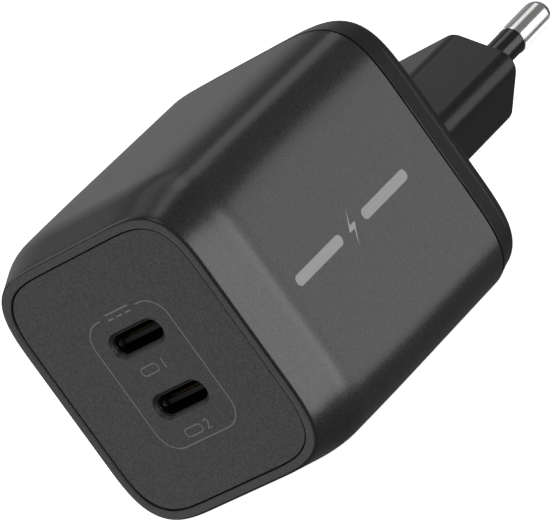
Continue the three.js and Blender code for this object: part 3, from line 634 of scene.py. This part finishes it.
cap_back = cap_high.y - PLUG_LENGTH
cap_front = seam_y + SEAM_HALF_GAP
step_ends = (housing_back + SEAM_CLEARANCE, cap_front)
cap_rings = [ring(body_outline(SEAM_STEP), y, body_rise) for y in step_ends]
for inset, setback in quarter_turn(SEAM_ROUND, 3):
    cap_rings.append(ring(body_outline(inset), cap_front + setback, body_rise))
edge_start = cap_back - CAP_EDGE_RADIUS
for step in range(CAP_EDGE_STEPS + 1):
    angle = math.pi / 2 * step / CAP_EDGE_STEPS
    inset = CAP_TAPER + (CAP_EDGE_RADIUS - CAP_TAPER) * (1 - math.cos(angle))
    cap_rings.append(ring(body_outline(inset), edge_start + CAP_EDGE_RADIUS * math.sin(angle), body_rise))
plug_rings = [ring(plug_outline(0, PLUG_EDGE_RADIUS), cap_back - WALL / 2)]
for inset, setback in reversed(quarter_turn(PLUG_END_RADIUS, 5)):
    plug_rings.append(ring(plug_outline(inset, PLUG_EDGE_RADIUS), cap_high.y - setback))
lip_inset = WALL + LIP_CLEARANCE
lip_outline, hollow_outline = body_outline(lip_inset), body_outline(lip_inset + LIP_THICKNESS)
lip_ends = (cap_low.y, cap_front + JOIN_OVERLAP)
lip = loft([ring(lip_outline, y, body_rise) for y in lip_ends])
hollow_ends = (cap_low.y - JOIN_OVERLAP, cap_back - WALL)
cap_hollow = loft([ring(hollow_outline, y, body_rise) for y in hollow_ends])
plug_core = plug_outline(PLUG_WALL, PLUG_EDGE_RADIUS / 2)
core_ends = (cap_back - WALL - JOIN_OVERLAP, cap_high.y - PLUG_FACE_THICKNESS)
plug_hollow = loft([ring(plug_core, y) for y in core_ends])
bores = []
for side in (-1, 1):
    profile = [
        (BORE_RADIUS, -PLUG_FACE_THICKNESS - JOIN_OVERLAP),
        (BORE_RADIUS, FUNNEL_START),
        (BORE_RADIUS + BORE_FUNNEL, FUNNEL_END),
        (BORE_RADIUS + BORE_FUNNEL, JOIN_OVERLAP),
    ]
    bores.append(loft(turned(profile, BORE_STEPS, side * PIN_SPACING / 2, cap_high.y)))
cover_mesh = boolean(loft(cap_rings), "UNION", loft(plug_rings), lip)
cover_mesh = boolean(cover_mesh, "DIFFERENCE", cap_hollow, plug_hollow, *bores)
cover_plastic = grained_plastic(
    "cover_plastic", (0.006, 0.006, 0.0061), (0.011, 0.011, 0.0112), 0.32, 0.24, 0.002, 0.15,
    Specular_IOR_Level=0.28,
)
add_piece("rear_cap_and_plug", cover_mesh, cover_plastic, ["rear_cover"], 30)


# ---- pins and sleeves ----
# Two turned brass pins with polished nickel plating and round tips, leaning slightly together as on
# every flat plug. A black insulating sleeve covers the half of each pin next to the block.
PIN_DIAMETER, PIN_LENGTH = 4.0, 19.0
PIN_CORE_DIAMETER, PIN_TAIL = 2.6, 6.0
SLEEVE_DIAMETER, SLEEVE_LENGTH, SLEEVE_CLEARANCE = 3.8, 10.0, 0.2
SLEEVE_INSIDE = 1.6
PIN_EDGE, TAIL_CHAMFER, BARE_GAP = 0.1, 0.2, 0.05
SLEEVE_CHAMFER = 0.15
PIN_STEPS, TIP_STEPS = 64, 12
AXIS_RADIUS = 0.001

nickel = Finish("nickel", Metallic=1.0)
lathe_lines = nickel.noise(0.5, 4.0, (1, 14, 1))
rub = nickel.noise(2.4, 3.0, (1, 0.3, 1))
nickel.feed(
    Base_Color=nickel.blend(rub, (0.80, 0.79, 0.775), (0.90, 0.89, 0.88)),
    Roughness=0.15 + 0.06 * lathe_lines + 0.06 * rub,
)
nickel.relief(lathe_lines, 0.0012)
sleeve_gloss = grained_plastic(
    "sleeve_gloss", (0.004, 0.004, 0.0042), (0.008, 0.008, 0.0082), 0.16, 0.5, 0.0012, 0.05,
    Specular_IOR_Level=0.5,
)
for name, side in (("left", -1), ("right", 1)):
    radius, core = PIN_DIAMETER / 2, PIN_CORE_DIAMETER / 2
    bare = SLEEVE_LENGTH + BARE_GAP
    profile = [
        (AXIS_RADIUS, -PIN_TAIL), (core - TAIL_CHAMFER, -PIN_TAIL), (core, TAIL_CHAMFER - PIN_TAIL),
        (core, bare), (radius - PIN_EDGE, bare), (radius, bare + PIN_EDGE), (radius, bare + 3 * PIN_EDGE),
    ]
    for step in range(TIP_STEPS + 1):
        angle = math.pi / 2 * step / TIP_STEPS
        tip_radius = max(radius * math.cos(angle), AXIS_RADIUS)
        profile.append((tip_radius, PIN_LENGTH - radius + radius * math.sin(angle)))
    pin = loft(turned(profile, PIN_STEPS))
    inner, outer = core + SLEEVE_CLEARANCE, SLEEVE_DIAMETER / 2
    profile = [
        (inner, -SLEEVE_INSIDE), (outer, -SLEEVE_INSIDE), (outer, SLEEVE_LENGTH - SLEEVE_CHAMFER),
        (outer - SLEEVE_CHAMFER, SLEEVE_LENGTH), (inner, SLEEVE_LENGTH),
    ]
    sleeve = loft(turned(profile, PIN_STEPS), True)
    foot = Matrix.Translation((side * PIN_SPACING / 2 * MM, cap_high.y * MM, 0))
    lean = foot @ Matrix.Rotation(side * PIN_LEAN, 4, "Z")
    for mesh in (pin, sleeve):
        mesh.transform(lean)
    add_piece(f"nickel_pin_{name}", pin, nickel.material, [f"pin_{name}"])
    add_piece(f"insulating_sleeve_{name}", sleeve, sleeve_gloss, [f"pin_sleeve_{name}"])


# ---- printed marks ----
# Thin grey pad prints: a rounded line round both ports, opened at its top for the direct-current
# sign, a slot sign with a numeral under each port, and a plain bolt between two bars on the side.
PRINT_PROUD, PRINT_SUNK = 0.015, 0.02
LINE_HALF_WIDTH, LINE_HALF_HEIGHT, LINE_CORNER = 7.0, 9.4, 3.05
LINE_DROP, LINE_GAP, LINE_WEIGHT = 0.85, 3.3, 0.18
SIGN_WIDTH, SIGN_DASHES, SIGN_WEIGHT, SIGN_STEP = 4.2, 3, 0.24, 0.75
LABEL_DROP, LABEL_HEIGHT, LABEL_SPREAD = 4.15, 1.45, 1.4
SLOT_SIGN_WIDTH, SLOT_SIGN_HEIGHT, SLOT_SIGN_WEIGHT, SLOT_SIGN_SHIFT = 3.0, 1.15, 0.17, 0.2
DIGIT_SHARE = 0.7
MARK_LENGTH, MARK_GAP, MARK_BAR, MARK_MIDDLE_Y = 27.0, 2.6, 1.5, -46.0

print_grey = Finish("print_grey", Roughness=0.5)
ink = print_grey.noise(0.12, 3.0)
print_grey.feed(Base_Color=print_grey.blend(ink, (0.15, 0.15, 0.15), (0.22, 0.22, 0.22)))
print_grey.relief(ink, 0.002)
print_light = Finish("print_light", Roughness=0.5)
ink = print_light.noise(0.14, 3.0)
print_light.feed(Base_Color=print_light.blend(ink, (0.24, 0.24, 0.24), (0.31, 0.31, 0.31)))
print_light.relief(ink, 0.003)


def ribbon(path, width, closed=False):
    """A thin printed line on the plate along points (x, z)."""
    rings = []
    last = len(path) - 1
    for index, (x, z) in enumerate(path):
        before = path[index - 1] if index or closed else path[0]
        after = path[(index + 1) % len(path)] if index < last or closed else path[last]
        along = Vector((after[0] - before[0], after[1] - before[1])).normalized() * width / 2
        left, right = (x - along.y, z + along.x), (x + along.y, z - along.x)
        front, back = plate_low.y - PRINT_PROUD, plate_low.y + PRINT_SUNK
        rings.append([(left[0], front, left[1]), (right[0], front, right[1]),
                      (right[0], back, right[1]), (left[0], back, left[1])])
    return loft(rings, closed)


def arc(x, z, radius, start, end, steps=12):
    angles = [math.radians(start + (end - start) * step / steps) for step in range(steps + 1)]
    return [(x + radius * math.cos(a), z + radius * math.sin(a)) for a in angles]


port_x = (sockets[0][0].x + sockets[0][1].x) / 2
port_heights = [(low.z + high.z) / 2 for low, high in sockets]
line_z = sum(port_heights) / 2 - LINE_DROP
across, up = LINE_HALF_WIDTH - LINE_CORNER, LINE_HALF_HEIGHT - LINE_CORNER
path = [(port_x - LINE_GAP, line_z + LINE_HALF_HEIGHT)]
path += arc(port_x - across, line_z + up, LINE_CORNER, 90, 180)
path += arc(port_x - across, line_z - up, LINE_CORNER, 180, 270)
path += arc(port_x + across, line_z - up, LINE_CORNER, 270, 360)
path += arc(port_x + across, line_z + up, LINE_CORNER, 0, 90)
path += [(port_x + LINE_GAP, line_z + LINE_HALF_HEIGHT)]
add_piece("port_frame_line", ribbon(path, LINE_WEIGHT), print_grey.material)

sign_z = line_z + LINE_HALF_HEIGHT
upper_z = sign_z + SIGN_STEP / 2
lower_z = sign_z - SIGN_STEP / 2
sign_left = port_x - SIGN_WIDTH / 2
strokes = [ribbon([(sign_left, upper_z), (port_x + SIGN_WIDTH / 2, upper_z)], SIGN_WEIGHT)]
dash = SIGN_WIDTH / (SIGN_DASHES + (SIGN_DASHES - 1) / 2)
for index in range(SIGN_DASHES):
    start = sign_left + index * 1.5 * dash
    strokes.append(ribbon([(start, lower_z), (start + dash, lower_z)], SIGN_WEIGHT))
add_piece("direct_current_sign", merged(*strokes), print_grey.material)


def numeral(text, x, z, height):
    """A digit as a thin solid on the plate, centred on a point."""
    curve = bpy.data.curves.new("digit", "FONT")
    curve.body = text
    curve.align_x, curve.align_y = "CENTER", "CENTER"
    curve.size = height * MM / DIGIT_SHARE
    curve.extrude = (PRINT_PROUD + PRINT_SUNK) / 2 * MM
    return upright_solid(curve, x, plate_low.y + (PRINT_SUNK - PRINT_PROUD) / 2, z)


for number, height in enumerate(port_heights, 1):
    z = height - LABEL_DROP
    sign_x = port_x - LABEL_SPREAD + SLOT_SIGN_SHIFT
    slot_sign = moved(slot_outline(SLOT_SIGN_WIDTH, SLOT_SIGN_HEIGHT), sign_x, z)
    digit = numeral(str(number), port_x + LABEL_SPREAD, z, LABEL_HEIGHT)
    label = merged(ribbon(slot_sign, SLOT_SIGN_WEIGHT, True), digit)
    add_piece(f"port_label_{number}", label, print_grey.material)

side_x = shell_high.x
bolt = [(-0.9, -2.3), (0.15, -0.35), (-1.0, -0.35), (0.9, 2.3), (-0.15, 0.35), (1.0, 0.35)]
shapes = [bolt]
for side in (-1, 1):
    near, far = sorted((side * MARK_GAP, side * MARK_LENGTH / 2))
    shapes.append(moved(slot_outline(far - near, MARK_BAR), (near + far) / 2, 0))
solids = []
for shape in shapes:
    outline = [(MARK_MIDDLE_Y + a, body_rise + b) for a, b in shape]
    depths = (side_x - PRINT_SUNK, side_x + PRINT_PROUD)
    solids.append(loft([[(x, y, z) for y, z in outline] for x in depths]))
add_piece("side_mark", merged(*solids), print_light.material)


# ---- studio ----
# A pale floor and backdrop in a dim surround. Two wide soft boxes to the right light the side and the
# flare, smaller high ones draw the strips along the upper edges, and the rest are weak fills in front
# and behind. The last one lights only the pins.
PALE_LIGHT = 1.0
FLOOR_DROP, FLOOR_HALF = 0.05, 6000
DOME_RADIUS = 8.0
SOFTBOX_DISTANCE = 0.8
SURROUND_BELOW, SURROUND_ABOVE = 0.10, 0.19


def stage_piece(name, mesh, finish):
    mesh.materials.append(finish)
    piece = bpy.data.objects.new(name, mesh)
    bpy.context.scene.collection.objects.link(piece)
    piece.visible_glossy = False
    piece.visible_diffuse = False
    piece.visible_transmission = False
    piece.visible_shadow = False


floor_z = shell_low.z - FLOOR_DROP
half = FLOOR_HALF
corners = [(-half, -half, floor_z), (half, -half, floor_z), (half, half, floor_z), (-half, half, floor_z)]
floor_mesh = bpy.data.meshes.new("floor")
floor_mesh.from_pydata([Vector(corner) * MM for corner in corners], [], [(0, 1, 2, 3)])
pale = Finish("pale_floor", Roughness=0.9, Base_Color=(0.8, 0.8, 0.8, 1), Emission_Strength=PALE_LIGHT)
pale.feed(Emission_Color=pale.blend(pale.noise(900), (0.99, 0.99, 0.99), (1, 1, 1)))
stage_piece("floor", floor_mesh, pale.material)
dome = bmesh.new()
bmesh.ops.create_uvsphere(dome, u_segments=48, v_segments=24, radius=DOME_RADIUS)
dome_mesh = bpy.data.meshes.new("backdrop")
dome.to_mesh(dome_mesh)
dome.free()
stage_piece("backdrop", dome_mesh, pale.material)

world = bpy.data.worlds.new("surround")
bpy.context.scene.world = world
surround = Nodes(world)
height = surround.node("SeparateXYZ", {}, {0: surround.node("TexCoord", {}, {}, "Generated")}, "Z")
share = surround.node("MapRange", {}, {0: height, 1: -0.1, 2: 0.25, 3: SURROUND_BELOW, 4: SURROUND_ABOVE})
surround.plug(surround.tree.nodes["Background"].inputs["Strength"], share)
surround.plug(surround.tree.nodes["Background"].inputs["Color"], (1, 1, 1, 1))
bpy.context.scene.view_settings.view_transform = "Standard"

middle = (cad_box[0] + cad_box[1]) / 2


def softbox(name, azimuth, elevation, width, height, radiance, roll=0.0):
    """A rectangular light aimed at the charger, its azimuth counted from +Y towards +X."""
    light = bpy.data.lights.new(name, "AREA")
    light.shape = "RECTANGLE"
    light.size, light.size_y = width, height
    light.energy = radiance * math.pi * width * height
    lamp = bpy.data.objects.new(name, light)
    bpy.context.scene.collection.objects.link(lamp)
    a, e = math.radians(azimuth), math.radians(elevation)
    out = Vector((math.sin(a) * math.cos(e), math.cos(a) * math.cos(e), math.sin(e)))
    lamp.location = middle + out * SOFTBOX_DISTANCE
    lamp.rotation_mode = "QUATERNION"
    lamp.rotation_quaternion = out.to_track_quat("Z", "Y") @ Quaternion((0, 0, 1), math.radians(roll))
    lamp.visible_camera = False
    return lamp


softbox("side_box", 57, -14, 0.75, 0.55, 1.75)
softbox("flare_box", 100, -12, 0.7, 0.6, 3.5)
softbox("corner_strip", 23, 59, 0.28, 0.85, 0.9, 35)
softbox("front_fill", 224, -6, 0.9, 0.8, 0.95)
softbox("flare_strip", 45, 74, 0.4, 0.3, 0.8, 20)
softbox("back_box", 312, 12, 0.7, 0.6, 0.16)
softbox("back_high", 312, 64, 0.5, 0.4, 0.45)
softbox("edge_box", 257, 45, 0.45, 0.45, 1.1)
softbox("lip_box", 165, 52, 0.3, 0.3, 2.0)
pin_fill = softbox("pin_fill", -13, -40, 0.5, 0.4, 1.25)
pins_only = bpy.data.collections.new("pins_only")
for name in ("left", "right"):
    pins_only.objects.link(bpy.data.objects[f"nickel_pin_{name}"])
pin_fill.light_linking.receiver_collection = pins_only


# ---- camera ----
# A long lens from the front right, slightly above and rolled, so that the charger lies across the frame.
CAMERA_AIM = (2.523, -42.585, 0.227)
CAMERA_DISTANCE, CAMERA_AZIMUTH, CAMERA_ELEVATION, CAMERA_ROLL = 664.84, 44.207, 9.426, -35.66
CAMERA_LENS, SENSOR_WIDTH = 351.44, 36
camera_data = bpy.data.cameras.new("camera")
camera_data.sensor_width = SENSOR_WIDTH
camera_data.lens = CAMERA_LENS
camera_data.clip_start, camera_data.clip_end = 0.01, 50
camera = bpy.data.objects.new("camera", camera_data)
bpy.context.scene.collection.objects.link(camera)
a, e = math.radians(CAMERA_AZIMUTH), math.radians(CAMERA_ELEVATION)
back = Vector((math.sin(a) * math.cos(e), -math.cos(a) * math.cos(e), math.sin(e)))
camera.location = Vector(CAMERA_AIM) * MM + back * CAMERA_DISTANCE * MM
camera.rotation_mode = "QUATERNION"
camera.rotation_quaternion = back.to_track_quat("Z", "Y") @ Quaternion((0, 0, 1), math.radians(CAMERA_ROLL))
bpy.context.scene.camera = camera
